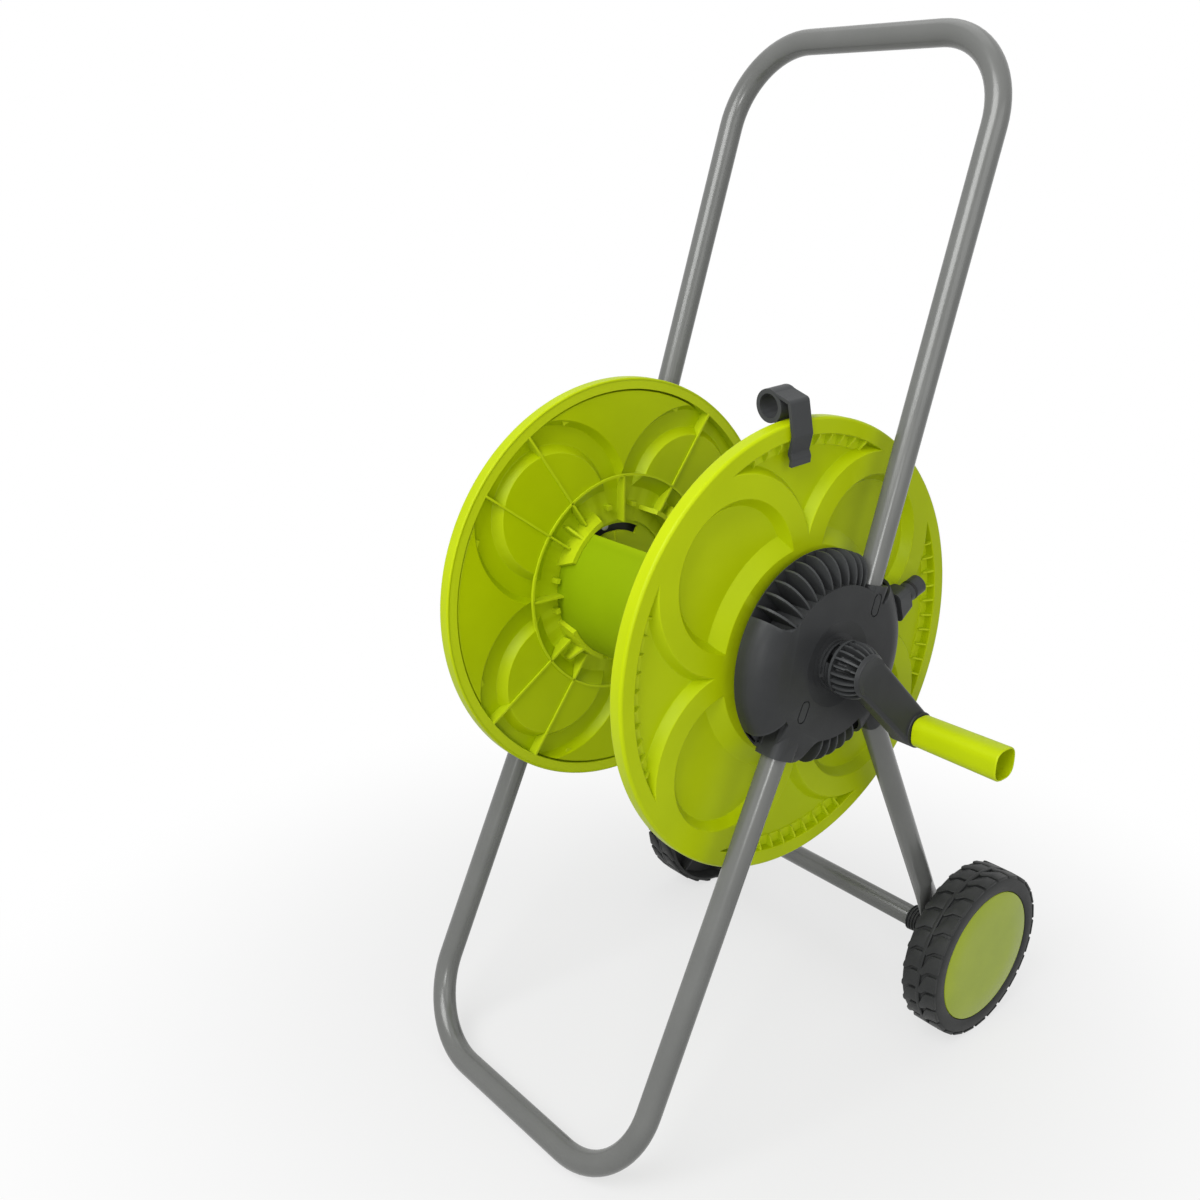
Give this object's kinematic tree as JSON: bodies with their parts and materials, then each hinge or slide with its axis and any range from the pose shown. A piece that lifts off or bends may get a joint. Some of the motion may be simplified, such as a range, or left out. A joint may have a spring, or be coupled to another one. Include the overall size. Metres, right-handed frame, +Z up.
{
  "type": "garden hose reel cart",
  "caption": "Wheeled garden hose cart: hose drum between embossed flanges, turned by a side crank, on a bent tube frame with push handle, front foot and rear wheels.",
  "frame": {"origin": "on the floor in the middle plane, straight below the reel axis", "axes": "+X along the reel axis to the crank side, +Y to the rear where the wheels are, +Z up"},
  "size_m": [0.4673, 0.4807, 0.865],
  "materials": {
    "tube_paint": "satin grey paint",
    "steel": "zinc plated",
    "black_plastic": "moulded black",
    "dark_plastic": "fine satin dark grey",
    "lime_plastic": "satin lime green",
    "lime_gloss": "glossy lime green",
    "seal_rubber": "black seal"
  },
  "bodies": {
    "frame": {"handle_tube": "tube_paint", "stand_tube": "tube_paint", "left_leg": "tube_paint", "right_leg": "tube_paint", "axle_tube": "tube_paint", "axle_rod": "steel", "left_axle_bush": "black_plastic", "right_axle_bush": "black_plastic", "axle_push_nuts": "steel", "left_cover": "dark_plastic", "right_cover": "dark_plastic", "left_inner_plate": "dark_plastic", "right_inner_plate": "dark_plastic", "cover_screws": "steel", "inlet_swivel": "dark_plastic", "inlet_seal": "seal_rubber", "spindle_seals": "seal_rubber"},
    "reel": {"left_flange": "lime_plastic", "right_flange": "lime_plastic", "drum": "lime_plastic", "water_spindle": "dark_plastic", "right_stub": "dark_plastic", "hose_outlet": "dark_plastic", "crank": "dark_plastic", "hose_end_clip": "dark_plastic"},
    "grip": {"grip": "lime_plastic"},
    "left_wheel": {"left_wheel": "black_plastic", "left_wheel_cap": "lime_gloss"},
    "right_wheel": {"right_wheel": "black_plastic", "right_wheel_cap": "lime_gloss"}
  },
  "joints": [
    {"name": "reel_spin", "type": "hinge", "parent": "frame", "child": "reel", "pos_m": [0, 0, 0.405], "axis": [1, 0, 0], "continuous": true},
    {"name": "grip_spin", "type": "hinge", "parent": "reel", "child": "grip", "pos_m": [0.2325, 0.05279, 0.35033], "axis": [1, 0, 0], "continuous": true},
    {"name": "left_wheel_spin", "type": "hinge", "parent": "frame", "child": "left_wheel", "pos_m": [0.176, 0.1924, 0.08], "axis": [1, 0, 0], "continuous": true},
    {"name": "right_wheel_spin", "type": "hinge", "parent": "frame", "child": "right_wheel", "pos_m": [-0.176, 0.1924, 0.08], "axis": [1, 0, 0], "continuous": true}
  ]
}
